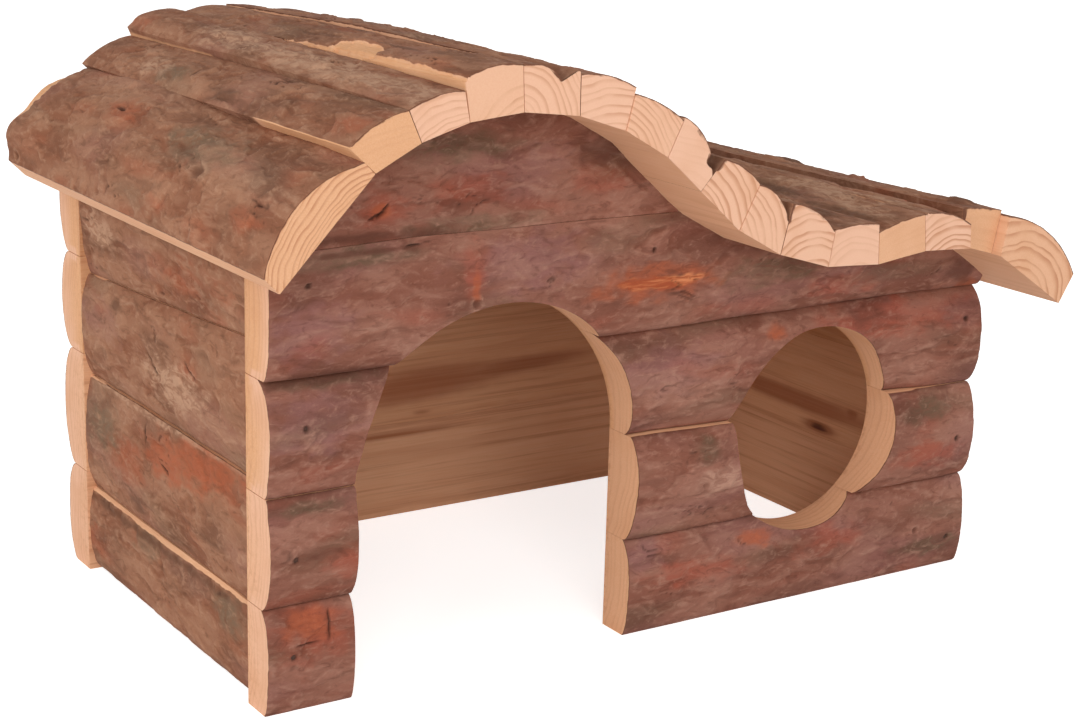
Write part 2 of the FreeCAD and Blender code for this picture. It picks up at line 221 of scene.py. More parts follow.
# Marks on named pieces: kind, distance along, distance across, half length, half width.
# Along runs from the wall's left or front end, or from the roof's front; across is the height
# on a wall and the way from the left edge on a slat. A sixth number slants the mark. Heart and
# core are dark wood on the inner face.
MARKS = {
    "front_wall_arch_board": (
        ("stain", 131, 117, 24, 5.5), ("torn", 132, 116.6, 17, 2.6), ("red", 65, 127, 4.5, 10),
        ("stain", 66, 122, 1.3, 5), ("knot", 66, 117, 2.2, 1.9), ("mauve", 84, 127, 24, 9),
        # The thin dark mark at 135.5 up lies along the seam and is painted shade
        ("mauve", 12, 114, 14, 10), ("moss", 24, 134, 22, 4), ("dark", 30, 135.5, 18, 0.9),
        ("crack", 46, 136.2, 6, 0.4, 0.12), ("pit", 129, 127, 0.9, 0.9),
        ("moss", 175, 116, 22, 5), ("red", 205, 108, 16, 4), ("stain", 263, 101, 6, 4),
        # The thin dark mark at 101 up, along the board's jutting lower edge, is painted shade
        ("dark", 258, 107, 8, 5), ("dark", 20, 101, 22, 1.4)),
    "front_wall_crest_board": (
        ("red", 36, 147, 8, 6), ("stain", 35, 147, 3, 2.6), ("crack", 36, 147, 3, 0.8, 1.2),
        # The thin dark marks at 139 and 139.5 up lie along the seam and are painted shade
        ("crack", 33, 145, 3, 0.6, 0.4), ("dark", 42, 139, 18, 0.9), ("red", 64, 150, 14, 5),
        # The moss mark at 58 along and 163 up, just under the roof, is partly olive bark and
        # partly painted shade
        ("red", 109, 150, 11, 6), ("moss", 65, 140, 28, 3), ("moss", 58, 163, 22, 5),
        # The dark mark at 112 along and 160 up, just under the roof, is a painted shadow of the
        # roof's overhang
        ("mauve", 88, 158, 12, 5), ("dark", 112, 160, 14, 6), ("dark", 30, 139.5, 26, 1.5)),
    "front_wall_left_board_1": (
        ("red", 14, 24, 16, 10), ("stain", 14, 26, 9, 5), ("crack", 20, 26, 0.8, 5),
        ("crack", 12, 21, 6, 0.6)),
    "front_wall_left_board_2": (
        ("moss", 13, 63, 12, 3), ("red", 24, 45, 8, 5), ("swollen", 12, 66.5, 34, 5)),
    "front_wall_left_board_3": (
        # The thin dark mark at 99.6 up, under the ledge of the board above, is painted shade
        ("mauve", 14, 88, 16, 9), ("moss", 20, 99.5, 20, 2.5), ("dark", 14, 99.6, 16, 1.6),
        ("swollen", 12, 66.5, 34, 5)),
    "front_wall_right_board_1": (
        ("stain", 177, 25, 8, 3), ("worn", 226, 33, 26, 10), ("mauve", 132, 27, 10, 6),
        ("knot", 247, 16, 2.0, 1.6), ("moss", 255, 9, 16, 4), ("red", 150, 18, 20, 5),
        ("red", 205, 20, 18, 5), ("swollen", 160, 33, 36, 5), ("plump", 252, 33, 24, 5)),
    "front_wall_middle_board_2": (
        ("moss", 152, 61, 5, 5), ("pale", 160, 50, 12, 5), ("proud", 172, 56, 60, 20),
        ("swollen", 160, 32.5, 36, 5)),
    "front_wall_right_board_2": (
        ("moss", 249, 60, 14, 5), ("red", 250, 44, 14, 6), ("bare", 238, 66.8, 22, 0.5),
        ("plump", 252, 32.5, 24, 5)),
    "front_wall_right_board_3": (
        ("stain", 181, 95, 4, 2.5), ("red", 228, 94, 32, 7), ("hollow", 232, 77, 26, 17),
        ("worn", 124, 74, 30, 20), ("mauve", 138, 88, 20, 9)),
    "left_side_board_1": (
        ("moss", 77, 25, 12, 5), ("moss", 16, 22, 12, 6), ("red", 116, 12, 12, 6),
        ("peeled", 74, 29.6, 110, 1.7), ("dark", 74, 26.5, 70, 1.5)),
    "left_side_board_2": (
        ("stain", 38, 62, 38, 7.5, -0.1), ("stain", 60, 57, 17, 7), ("crack", 76, 62, 0.9, 5),
        ("red", 90, 50, 16, 8), ("crack", 60, 55, 5, 0.7, 0.3), ("moss", 112, 56, 16, 9),
        # The ridge along the seam is raised and painted pale: a painted highlight on it
        ("dark", 84, 36, 9, 3), ("peeled", 136, 68.8, 26, 1.0), ("ridge_highlight", 60, 68.6, 80, 1.5)),
    "left_side_board_3": (
        ("crack", 67.5, 87.1, 5.5, 1.1, 0.67), ("crack", 39, 91.5, 4.5, 0.8, 0.54),
        ("red", 39, 91, 7, 3), ("pale", 50, 84, 26, 8), ("mauve", 110, 92, 16, 8),
        ("dark", 98, 99, 5, 3), ("peeled", 130, 104.4, 24, 1.0)),
    "left_side_board_4": (
        ("red", 34, 116, 30, 9), ("pale", 110, 122, 16, 6)),
    "roof_slat_01": (
        ("knot", 58, 20, 6, 2.6), ("moss", 66, 28, 24, 9), ("red", 123, 29, 13, 6),
        ("red", 20, 12, 9, 4), ("knot", 183, 3, 2.4, 2.0), ("red", 76, 6, 8, 4),
        ("peeled", 196, 27, 11, 19), ("worn", 198, 39, 18, 12), ("swollen", 188, 10, 26, 8),
        ("crack", 128, 30, 4, 0.7), ("swollen", 115, 43, 58, 5), ("plump", 30, 43.5, 46, 4)),
    "roof_slat_02": (
        ("red", 10, 7, 9, 5), ("dark", 84, 4, 9, 3.2), ("moss", 123, 6, 13, 5),
        ("pale", 140, 8, 12, 5), ("crack", 112, 9, 0.8, 3)),
    "roof_slat_03": (
        ("red", 183, 4, 8, 5), ("pale", 121, 9, 26, 7), ("bare", 95, 18.6, 32, 1.3),
        ("worn", 170, -1, 60, 6), ("pale", 60, 8, 80, 7)),
    "roof_slat_04": (
        ("bare", 66, 3.4, 16, 4.6), ("bare", 40, -0.6, 76, 2.8), ("red", 95, 14, 10, 4),
        # The thin dark mark at 52 along and 9.5 across, beside the bare lobe, is painted shadow
        # under the bark's lip
        ("dark", 88, 16, 6, 2), ("dark", 52, 9.5, 14, 1.2)),
    "roof_slat_08": (
        ("worn", 10, 18, 50, 2.4), ("dark", 10, 17, 50, 5)),
    "roof_slat_09": (
        ("dark", 30, 2, 60, 4), ("dark", 120, 14, 60, 5)),
    # The dark patches on slats 10 to 12 are partly dark bark and partly painted shade
    "roof_slat_10": (
        ("dark", 40, 14, 45, 5), ("pale", 90, 6, 20, 4)),
    "roof_slat_11": (
        ("dark", 30, 4, 22, 4), ("pale", 55, 9, 14, 4), ("dark", 60, 17, 12, 5)),
    "roof_slat_12": (
        ("dark", 22, 10, 14, 8), ("pale", 48, 14, 12, 4), ("moss", 80, 10, 22, 8)),
    "roof_slat_13": (
        ("pale", 48, 17, 30, 5), ("pale", 36, 14, 16, 4), ("dark", 60, 8, 18, 4),
        ("dark", 24, 4.5, 18, 3), ("pale", 20, 11, 14, 4), ("moss", 110, 9, 20, 6)),
    "roof_slat_14": (
        ("pale", 34, 3, 34, 3), ("bare", 24, 0.4, 26, 1.4), ("moss", 90, 14, 25, 5),
        ("stain", 20, 15, 16, 4)),
    "roof_slat_15": (
        ("raised", 12, 10, 6, 5), ("raised", 62, 12, 7, 4), ("raised", 108, 9, 7, 4),
        ("dark", 14, 12, 8, 6)),
    "roof_slat_16": (
        ("raised", 120, 6, 8, 4), ("dark", 100, 6, 60, 5)),
    "back_wall_board_1": (
        ("heart", 105, 31, 60, 1.6), ("heart", 60, 24, 50, 1.6)),
    "back_wall_board_2": (
        ("heart", 128, 48.6, 46, 8.2, 0.04), ("heart", 172, 51, 40, 3.6, 0.04),
        ("heart", 60, 47, 60, 5.0), ("core", 130, 38.4, 6, 0.6), ("core", 168, 37.6, 7, 0.5),
        ("core", 112, 55, 5, 0.5)),
    "right_side_board_2": (
        ("heart", 60, 44, 60, 4.5), ("core", 46, 36.4, 9, 1.7), ("heart", 46, 36.4, 12, 2.6),
        ("core", 28, 45.9, 4.0, 1.1)),
}
TINTS = ("moss", "mauve", "red", "dark", "pale", "stain")

# Kinds of mark that change the height: by how much, where the edge starts and ends, how ragged
# it is, and the mask that it leaves. Any other kind only tints the bark.
KINDS = {"torn": (-0.5, 0.7, 1.0, 0.7, "torn"), "bare": (-1.1, 0.75, 1.0, 0.35, "bare"),
         "worn": (-1.9, 0.1, 1.2, 0.2, None),
         "hollow": (-4.5, 0.0, 1.3, 0.1, None), "proud": (3.0, 0.3, 1.2, 0.1, None),
         # A ridge is raised and leaves the pale mask, which is a painted highlight along it
         "plump": (1.1, 0.1, 1.1, 0.2, None), "ridge_highlight": (0.5, 0.5, 1.3, 0.25, "pale"),
         "swollen": (2.3, 0.1, 1.1, 0.2, None), "raised": (0.9, 0.4, 1.1, 0.6, None),
         "crack": (-0.6, 0.4, 1.0, 0.8, "crack"), "pit": (-0.9, 0.5, 1.1, 0.0, "crack"),
         "peeled": (-0.35, 0.7, 1.0, 0.3, "bare"), "heart": (0.0, 0.1, 1.4, 0.1, "heart"),
         "core": (0.0, 0.3, 1.1, 0.15, "core")}

# Flakes from coarse to fine: length, width, step, share of the colour and of the pale rim
FLAKES = ((38, 15, 0.42, 0.5, 0.7), (18, 7.8, 0.3, 0.34, 0.7), (8.5, 4.2, 0.15, 0.2, 0.5))

# Tints in patches all over the bark: length, width, strength, and the noise where a patch starts
# and where it is full
PATCHES = {"moss": (46, 13, 0.6, 0.25, 0.7), "mauve": (50, 17, 0.6, 0.1, 0.6),
           "red": (26, 10, 0.5, 0.3, 0.75)}


def raise_mask(masks, name, share):
    masks[name] = np.maximum(masks[name], share)


# Height of the bark and its masks, at millimetres along and across the log; settled is the
# share of the flakes' height that is left, near an edge of the log
def bark(along, across, marks, seed, settled):
    warp_along = along + 9 * layered_noise(along / 30, across / 14, seed + 1)
    warp_across = across + 3.2 * layered_noise(along / 22, across / 10, seed + 2)
    height = 0.5 * layered_noise(along / 60, across / 26, seed + 3, 2) - 0.4
    masks = {name: np.zeros_like(along) for name in
             ("layer", "rim", "crack", "torn", "bare", "heart", "core", *TINTS)}
    for turn, (length, width, step, share, pale) in enumerate(FLAKES):
        flake = layered_noise(warp_along / length, warp_across / width, seed + 40 + 9 * turn)
        flake = flake + 0.05
        height = height + step * smooth_step(flake, -0.06, 0.07)
        masks["layer"] += share * smooth_step(flake, -0.15, 0.15)
        # The pale rim on each lifted flake edge is partly the flake's paler edge and partly
        # painted highlight
        raise_mask(masks, "rim", pale * np.exp(-((flake - 0.09) / 0.05) ** 2))
    masks["streak"] = layered_noise(warp_along / 24, warp_across / 3.8, seed + 70, 2)
    masks["tone"] = layered_noise(along / 42, across / 15, seed + 71, 2)
    for turn, (tint, (length, width, share, start, full)) in enumerate(PATCHES.items()):
        patch = noise(along / length, across / width, seed + 72 + turn)
        masks[tint] += share * smooth_step(patch, start, full)
    split = np.abs(layered_noise(warp_along / 34, warp_across / 6, seed + 5, 2))
    where = smooth_step(noise(along / 26, across / 11, seed + 6), 0.36, 0.6)
    masks["crack"] = 0.75 * (1 - smooth_step(split, 0.012, 0.045)) * where * settled
    height = height - 0.5 * masks["crack"]
    height = height + 0.08 * layered_noise(along / 3.6, across / 2.0, seed + 7, 2)
    height = height * settled
    rag = 0.45 * layered_noise(along / 7, across / 4, seed + 8)
    for kind, at, over, half_length, half_width, *slant in marks:
        level = over + sum(slant) * (along - at)
        far = np.hypot((along - at) / half_length, (across - level) / half_width)
        if kind == "knot":
            ring = np.exp(-((far - 0.95) / 0.22) ** 2)
            hole = 1 - smooth_step(far, 0.3, 0.8)
            height = height + 0.35 * ring - 0.6 * hole
            raise_mask(masks, "dark", 0.9 * hole)
            raise_mask(masks, "pale", 0.5 * ring)
            continue
        lift, start, end, ragged, mask = KINDS.get(kind, (0.0, 0.35, 1.3, 1.0, kind))
        share = 1 - smooth_step(far + ragged * rag, start, end)
        height = height + lift * share
        if mask:
            raise_mask(masks, mask, share)
    return height, masks


# Attributes that the materials read, three masks in each
MASK_SETS = {"relief": ("layer", "rim", "crack"), "tint": ("moss", "mauve", "red"),
             "wear": ("torn", "bare", "stain"), "shade": ("dark", "pale", "tone")}


# ---- Materials

def srgb(red, green, blue):
    linear = [((c / 255 + 0.055) / 1.055) ** 2.4 for c in (red, green, blue)]
    return (*linear, 1.0)


def paints(shades):
    return {name: srgb(*shade) for name, shade in shades.items()}


class Wiring:
    """Adds shader nodes to one tree; an input is a value or another node's output."""

    def __init__(self, tree):
        self.tree = tree

    def node(self, kind, inputs=None, **settings):
        made = self.tree.nodes.new(kind if kind.startswith("Node") else "ShaderNode" + kind)
        for key, value in settings.items():
            setattr(made, key, value)
        for key, value in (inputs or {}).items():
            if isinstance(value, bpy.types.NodeSocket):
                self.tree.links.new(value, made.inputs[key])
            else:
                made.inputs[key].default_value = value
        return made

    def vector(self, name):
        return self.node("Attribute", attribute_name=name).outputs["Vector"]

    def value(self, name):
        return self.node("Attribute", attribute_name=name).outputs["Fac"]

    def split(self, vector):
        return self.node("SeparateXYZ", {0: vector}).outputs[:]

    def math(self, operation, first, second=0.0, third=0.0):
        made = self.node("Math", {0: first, 1: second, 2: third}, operation=operation)
        return made.outputs[0]

    def product(self, *factors):
        total = factors[0]
        for factor in factors[1:]:
            total = self.math("MULTIPLY", total, factor)
        return total

    # Noise at one scale, or at a scale for each axis
    def noise(self, vector, scale, detail=3.0, roughness=0.55, distortion=0.0):
        if isinstance(scale, tuple):
            made = self.node("Mapping", {"Vector": vector, "Scale": scale})
            vector, scale = made.outputs[0], 1.0
        made = self.node("TexNoise", {"Vector": vector, "Scale": scale, "Detail": detail,
                                                "Roughness": roughness, "Distortion": distortion})
        return made.outputs["Fac"]

    def remap(self, value, start, end, low_to=0.0, high_to=1.0):
        made = self.node("MapRange", {0: value, 1: start, 2: end, 3: low_to, 4: high_to},
                         interpolation_type="SMOOTHSTEP")
        return made.outputs[0]

    def mix(self, share, first, second):
        made = self.node("Mix", {0: share, 6: first, 7: second}, data_type="RGBA")
        return made.outputs[2]

    # Lays coats over a colour; each is a share and a colour
    def coated(self, colour, *coats):
        for share, coat in coats:
            colour = self.mix(share, colour, coat)
        return colour


def new_material(name):
    material = bpy.data.materials.new(name)
    material.use_nodes = True
    material.node_tree.nodes.clear()
    return material, Wiring(material.node_tree)


def finish_material(wires, colour, roughness, normal, **plain):
    shader = wires.node("BsdfPrincipled", {"Base Color": colour, "Roughness": roughness,
                                                     "Normal": normal})
    for key, value in plain.items():
        shader.inputs[key.replace("_", " ")].default_value = value
    wires.node("OutputMaterial", {"Surface": shader.outputs[0]})


PINE_SHADES = {"pale": (232, 182, 154), "warm": (218, 160, 114), "tan": (196, 138, 94),
               "fibre": (238, 196, 162), "ring": (184, 118, 80), "streak": (172, 110, 72),
               "heart": (170, 108, 74), "core": (92, 48, 30), "patch": (206, 146, 104),
               "rim": (110, 68, 48)}


# Sawn pine seen in the solid: growth rings round the pith, fibres, streaks and dark heartwood
def pine_group():
    group = bpy.data.node_groups.new("pine_in_the_solid", "ShaderNodeTree")
    for name in ("Place", "Grain", "Wood"):
        group.interface.new_socket(name=name, in_out="INPUT", socket_type="NodeSocketVector")
    group.interface.new_socket(name="Color", in_out="OUTPUT", socket_type="NodeSocketColor")
    group.interface.new_socket(name="Height", in_out="OUTPUT", socket_type="NodeSocketFloat")
    shade = paints(PINE_SHADES)
    wires = Wiring(group)
    given = wires.node("NodeGroupInput").outputs
    place = given["Place"]
    width, strength, last = wires.split(given["Grain"])
    tan, heart, streaky = wires.split(given["Wood"])
    across, out = wires.split(place)[1:]
    from_pith = wires.math("SQRT", wires.math("ADD", wires.product(across, across),
                                              wires.product(out, out)))
    wander = wires.noise(place, (0.006, 0.035, 0.035))
    radius = wires.math("MULTIPLY_ADD", wander, 8.0, from_pith)
    spread = wires.node("CombineXYZ", {0: wires.product(radius, 0.13)}).outputs[0]
    uneven = wires.noise(spread, 1.0, 1.0)
    turn = wires.math("FRACT", wires.math("MULTIPLY_ADD", uneven, 2.6,
                                          wires.math("DIVIDE", radius, width)))
    late = wires.product(wires.remap(turn, 0.45, 0.9), wires.remap(turn, 1.0, 0.93))
    patchy = wires.noise(place, (0.02, 0.09, 0.09), 2.0)
    fading = wires.remap(wires.math("SUBTRACT", from_pith, last), 1.5, -2.5)
    rings = wires.product(late, strength, fading, wires.remap(patchy, 0.35, 0.6, 0.4, 1.0))
    fibre = wires.noise(place, (0.06, 2.2, 2.2), 3.0, 0.6)
    streak = wires.noise(place, (0.008, 0.5, 0.5), 4.0, 0.65, 0.2)
    deep = wires.product(wires.remap(heart, 0.0, 1.0), wires.remap(streak, 0.35, 0.6, 0.85, 1.0))
    colour = wires.coated(
        wires.mix(wires.remap(tan, 0.0, 1.0), shade["pale"], shade["warm"]),
        (wires.remap(tan, 1.0, 2.0), shade["tan"]),
        (wires.remap(fibre, 0.3, 0.7, 0.0, 0.3), shade["fibre"]),
        (wires.product(rings, 0.85), shade["ring"]),
        (wires.product(wires.remap(streak, 0.48, 0.66), streaky, 0.36), shade["streak"]),
        (deep, shade["heart"]),
        (wires.remap(heart, 1.0, 2.0), shade["core"]))
    height = wires.math("MULTIPLY_ADD", rings, 0.25, wires.product(fibre, 0.5))
    wires.node("NodeGroupOutput", {"Color": colour, "Height": height})
    return group


PINE = pine_group()


def pine_of(wires):
    return wires.node("Group", {"Place": wires.vector("log"),
                                          "Grain": wires.vector("grain"),
                                          "Wood": wires.vector("wood")}, node_tree=PINE).outputs


# Sawn faces: pine with a dark rim where the saw went through the bark
def sawn_pine():
    material, wires = new_material("sawn_pine")
    shade = paints(PINE_SHADES)
    pine = pine_of(wires)
    place = wires.vector("log")
    patch = wires.noise(place, (0.02, 0.06, 0.06), 2.0)
    uneven = wires.remap(wires.noise(place, 0.3, 2.0), 0.3, 0.7, -0.12, 0.12)
    skin = wires.math("ADD", wires.value("skin"), uneven)
    colour = wires.coated(
        pine["Color"],
        (wires.remap(patch, 0.45, 0.75, 0.0, 0.3), shade["patch"]),
        (wires.remap(skin, BARK_SKIN + 0.15, BARK_SKIN - 0.15), shade["rim"]))
    saw = wires.noise(place, (1.2, 0.25, 3.0), 2.0)
    lift = wires.math("MULTIPLY_ADD", saw, 0.4, pine["Height"])
    bump = wires.node("Bump", {"Height": lift, "Strength": 0.2, "Distance": 0.2 * MM})
    finish_material(wires, colour, wires.remap(pine["Height"], 0.0, 1.0, 0.74, 0.64),
                    bump.outputs[0], Specular_IOR_Level=0.25)
    return material


BARK_SHADES = {"stain": (174, 90, 58), "torn": (166, 80, 48), "splinter": (216, 138, 94),
               "crack": (60, 36, 28), "grain": (72, 46, 38)}
WALL_SHADES = {"under": (132, 82, 66), "over": (147, 98, 82), "moss": (106, 82, 64),
               "mauve": (144, 98, 92), "red": (164, 82, 62), "pale": (168, 122, 104),
               "dark": (98, 60, 48), "rim": (182, 138, 118), **BARK_SHADES}
ROOF_SHADES = {"under": (138, 88, 64), "over": (158, 110, 84), "moss": (122, 97, 76),
               "mauve": (152, 106, 90), "red": (166, 90, 62), "pale": (178, 132, 104),
               "dark": (102, 68, 50), "rim": (188, 146, 118), **BARK_SHADES}


# Bark: weathered flakes over redder layers, pale lifted rims that are partly painted highlight,
# dark cracks with painted shade along the wall seams, and torn places
def bark_material(name, shades):
    shade = paints(shades)
    material, wires = new_material(name)
    place = wires.vector("log")
    layer, rim, crack = wires.split(wires.vector("relief"))
    moss, mauve, red = wires.split(wires.vector("tint"))
    torn, bare, stain = wires.split(wires.vector("wear"))
    dark, pale, tone = wires.split(wires.vector("shade"))
    streak = wires.value("streak")
    small = wires.noise(place, (0.17, 0.38, 0.38), 4.0, 0.62, 1.1)
    grain = wires.noise(place, (1.2, 2.2, 2.2), 3.0, 0.7)
    lying = wires.noise(place, (0.05, 0.6, 0.6))
    fresh = wires.mix(wires.remap(lying, 0.38, 0.62), shade["torn"], shade["splinter"])
    colour = wires.coated(
        wires.mix(wires.remap(layer, 0.05, 0.95), shade["under"], shade["over"]),
        (wires.product(mauve, 0.8), shade["mauve"]),
        (wires.product(red, 0.6), shade["red"]),
        (wires.product(moss, wires.remap(small, 0.35, 0.55, 0.5, 0.95)), shade["moss"]),
        (wires.remap(tone, 0.0, -0.8, 0.0, 0.5), shade["dark"]),
        (wires.remap(tone, 0.0, 0.8, 0.0, 0.4), shade["pale"]),
        (wires.remap(streak, 0.15, 0.8, 0.0, 0.34), shade["pale"]),
        (wires.remap(streak, -0.15, -0.8, 0.0, 0.36), shade["dark"]),
        (wires.remap(small, 0.54, 0.72, 0.0, 0.38), shade["pale"]),
        (wires.remap(small, 0.46, 0.3, 0.0, 0.42), shade["dark"]),
        # Pale rims on lifted flake edges: partly the bark's own pale edges, partly painted
        # highlight
        (wires.product(rim, wires.remap(small, 0.42, 0.6), 0.5), shade["rim"]),
        # The pale mask also carries the painted highlight along ridges
        (wires.product(pale, wires.remap(small, 0.4, 0.6, 0.3, 0.95)), shade["rim"]),
        (wires.product(stain, wires.remap(small, 0.3, 0.6, 0.35, 0.75)), shade["stain"]),
        (wires.product(torn, wires.remap(lying, 0.25, 0.5, 0.5, 1.0)), fresh),
        (wires.product(dark, 0.75), shade["dark"]),
        # The crack mask also carries the painted shade along the wall seams
        (wires.product(crack, 0.85), shade["crack"]),
        (wires.remap(grain, 0.3, 0.7, 0.0, 0.1), shade["grain"]),
        (wires.remap(bare, 0.3, 0.55), pine_of(wires)["Color"]))
    lift = wires.math("MULTIPLY_ADD", small, 1.4, wires.product(grain, 0.4))
    lift = wires.product(lift, wires.remap(bare, 0.3, 0.6, 1.0, 0.1))
    bump = wires.node("Bump", {"Height": lift, "Strength": 0.35, "Distance": 0.5 * MM})
    finish_material(wires, colour, wires.remap(small, 0.3, 0.7, 0.92, 0.78), bump.outputs[0],
                    Specular_IOR_Level=0.15)
    return material


def steel_material():
    material, wires = new_material("dull_brad_steel")
    wire, rust = srgb(58, 44, 38), srgb(88, 54, 40)
    place = wires.node("TexCoord").outputs["Object"]
    spots = wires.noise(place, 2500.0)
    colour = wires.mix(wires.remap(spots, 0.4, 0.65), wire, rust)
    bump = wires.node("Bump", {"Height": spots, "Strength": 0.3, "Distance": 0.05 * MM})
    finish_material(wires, colour, wires.remap(spots, 0.3, 0.7, 0.4, 0.65), bump.outputs[0],
                    Metallic=0.6)
    return material


WALL_BARK = bark_material("wall_bark", WALL_SHADES)
ROOF_BARK = bark_material("roof_bark", ROOF_SHADES)
SAWN_PINE = sawn_pine()
STEEL = steel_material()


# ---- Building one log piece

# Rows on each side of a section, between the bark and the base; distance under which points of
# the mesh merge; width of the ring in an end cap, as a share; and the angle of a sharp edge
SIDE_ROWS = 3
MERGE_WITHIN = 0.0005
CAP_RING = 0.1
SHARP_ANGLE = 40


# Closed log piece; its rows run over the bark, down the right side, along the base and up the
# left side. place(u, s, h) gives points for the way along, the way across and the share of the
# height above the base, all from 0 to 1.
def log_mesh(name, length, width, base_rows, materials, place):
    columns = max(2, round(length / STEP))
    bark_rows = max(6, round(width / STEP))
    rows = bark_rows + SIDE_ROWS + base_rows + SIDE_ROWS
    bm = bmesh.new()
    bmesh.ops.create_grid(bm, x_segments=columns, y_segments=rows, size=0.5)
    mesh = bpy.data.meshes.new(name)
    for material in materials:
        mesh.materials.append(material)
    bm.to_mesh(mesh)
    number = np.arange(len(mesh.vertices))
    u = (number % (columns + 1)) / columns
    row = number // (columns + 1)
    past_bark = row - bark_rows
    past_side = past_bark - SIDE_ROWS
    past_base = past_side - base_rows
    s = np.where(past_bark <= 0, row / bark_rows, 1.0)
    s = np.where(past_side > 0, np.clip(1 - past_side / base_rows, 0, 1), s)
    h = np.where(past_bark > 0, np.clip(1 - past_bark / SIDE_ROWS, 0, 1), 1.0)
    h = np.where(past_base > 0, past_base / SIDE_ROWS, h)
    write_points(mesh, place(u, s, h))
    face_row = np.arange(len(mesh.polygons)) // columns
    mesh.polygons.foreach_set("material_index", (face_row >= bark_rows).astype(np.int32))
    for key, values in (("u", u), ("s", s), ("h", h)):
        write_values(mesh, key, values)
    bm.clear()
    bm.from_mesh(mesh)
    bmesh.ops.remove_doubles(bm, verts=bm.verts, dist=MERGE_WITHIN * MM)
    close_ends(bm)
    bm.to_mesh(mesh)
    bm.free()
    return mesh


# Caps both ends, with a ring just inside the edge so that the bark's rim can be coloured
def close_ends(bm):
    open_edges = [edge for edge in bm.edges if edge.is_boundary]
    caps = bmesh.ops.holes_fill(bm, edges=open_edges, sides=0)["faces"]
    for cap in caps:
        cap.material_index = 1
    inner = bmesh.ops.extrude_discrete_faces(bm, faces=caps)["faces"]
    for cap in inner:
        middle = cap.calc_center_median()
        for vert in cap.verts:
            vert.co = vert.co.lerp(middle, CAP_RING)
        cap.material_index = 1
    bmesh.ops.recalc_face_normals(bm, faces=bm.faces)


def write_points(mesh, points):
    mesh.vertices.foreach_set("co", (points * MM).astype(np.float32).ravel())


def read_points(mesh):
    points = np.empty(len(mesh.vertices) * 3, np.float32)
    mesh.vertices.foreach_get("co", points)
    return points.reshape(-1, 3).astype(float) / MM


# Writes an attribute: one value for each point, or the three parts of a vector
def write_values(mesh, name, *parts):
    values = np.stack(np.broadcast_arrays(*parts), -1) if len(parts) > 1 else parts[0]
    kind = "FLOAT" if values.ndim == 1 else "FLOAT_VECTOR"
    data = mesh.attributes.get(name) or mesh.attributes.new(name, kind, "POINT")
    field = "value" if values.ndim == 1 else "vector"
    data.data.foreach_set(field, values.astype(np.float32).ravel())


def read_values(mesh, name):
    values = np.empty(len(mesh.vertices), np.float32)
    mesh.attributes[name].data.foreach_get("value", values)
    return values.astype(float)


# Writes what the materials read: depth under the bark, place in the log, ring width with ring
# strength and radius without rings, tan with heart and streaks, and the bark's masks
def write_looks(mesh, skin, log, grain, wood, masks):
    write_values(mesh, "skin", np.where(masks["bare"] > BARE_WOOD, NO_RIM, skin))
    write_values(mesh, "log", *log)
    write_values(mesh, "grain", *grain)
    write_values(mesh, "wood", *wood)
    write_values(mesh, "streak", masks["streak"])
    for name, members in MASK_SETS.items():
        write_values(mesh, name, *(masks[member] for member in members))


def add_object(name, data):
    made = bpy.data.objects.new(name, data)
    bpy.context.scene.collection.objects.link(made)
    return made


# Puts a finished mesh into the scene as a piece that stands for its node
def stand_in(mesh, node):
    for name in ("u", "s", "h"):
        if name in mesh.attributes:
            mesh.attributes.remove(mesh.attributes[name])
    mesh.shade_smooth()
    mesh.set_sharp_from_angle(angle=math.radians(SHARP_ANGLE))
    piece = add_object(node + "_piece", mesh)
    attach(piece, "root")
    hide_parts(node)


# ---- The roof's wave

def wave_arcs():
    crest = np.array((CREST_X, CREST_HEIGHT - CREST_RADIUS))
    hump = np.array((HUMP_X, HUMP_HEIGHT - HUMP_RADIUS))
    gap = hump - crest
    span = np.hypot(*gap)
    reach_crest = CREST_RADIUS + VALLEY_RADIUS
    reach_hump = HUMP_RADIUS + VALLEY_RADIUS
    along = (reach_crest ** 2 - reach_hump ** 2 + span ** 2) / (2 * span)
    above = math.sqrt(reach_crest ** 2 - along ** 2)
    line = gap / span
    valley = crest + line * along + np.array((-line[1], line[0])) * above
    start = math.acos((left_end - LEFT_EAVE - crest[0]) / CREST_RADIUS)
    turn_down = math.atan2(valley[1] - crest[1], valley[0] - crest[0])
    turn_up = math.atan2(valley[1] - hump[1], valley[0] - hump[0])
    end = math.acos((right_end + RIGHT_EAVE - hump[0]) / HUMP_RADIUS)
    return ((crest, CREST_RADIUS, start, turn_down, 1),
            (valley, VALLEY_RADIUS, turn_down - math.pi, turn_up - math.pi, -1),
            (hump, HUMP_RADIUS, turn_up, end, 1))


WAVE = wave_arcs()
WAVE_LENGTHS = [radius * abs(a1 - a0) for centre, radius, a0, a1, side in WAVE]
WAVE_LENGTH = sum(WAVE_LENGTHS)


# Point on the wave, and its outward direction, at a distance from the left eave
def wave_at(distance):
    for (centre, radius, a0, a1, side), length in zip(WAVE, WAVE_LENGTHS):
        if distance <= length or radius == HUMP_RADIUS:
            angle = a0 + (a1 - a0) * distance / length
            ray = np.array((math.cos(angle), math.sin(angle)))
            return centre + ray * radius, ray * side
        distance -= length


def turned(direction, degrees):
    angle = math.radians(degrees)
    x, z = direction
    return np.array((x * math.cos(angle) + z * math.sin(angle),
                     -x * math.sin(angle) + z * math.cos(angle)))


# Joints between the slats on the wave, and the lean of the slats' sides there
JOINTS = np.append(np.cumsum([0.0] + [row[0] for row in SLATS[:-1]]), WAVE_LENGTH)
LEANS = [LEFT_EAVE_LEAN] + [row[7] for row in SLATS]


# ---- Roof slats

# Step along the grain from one slat's wood to the next one's, and spacing of the rows on the base
SLAT_GRAIN_STEP = 997
SLAT_BASE_STEP = 3


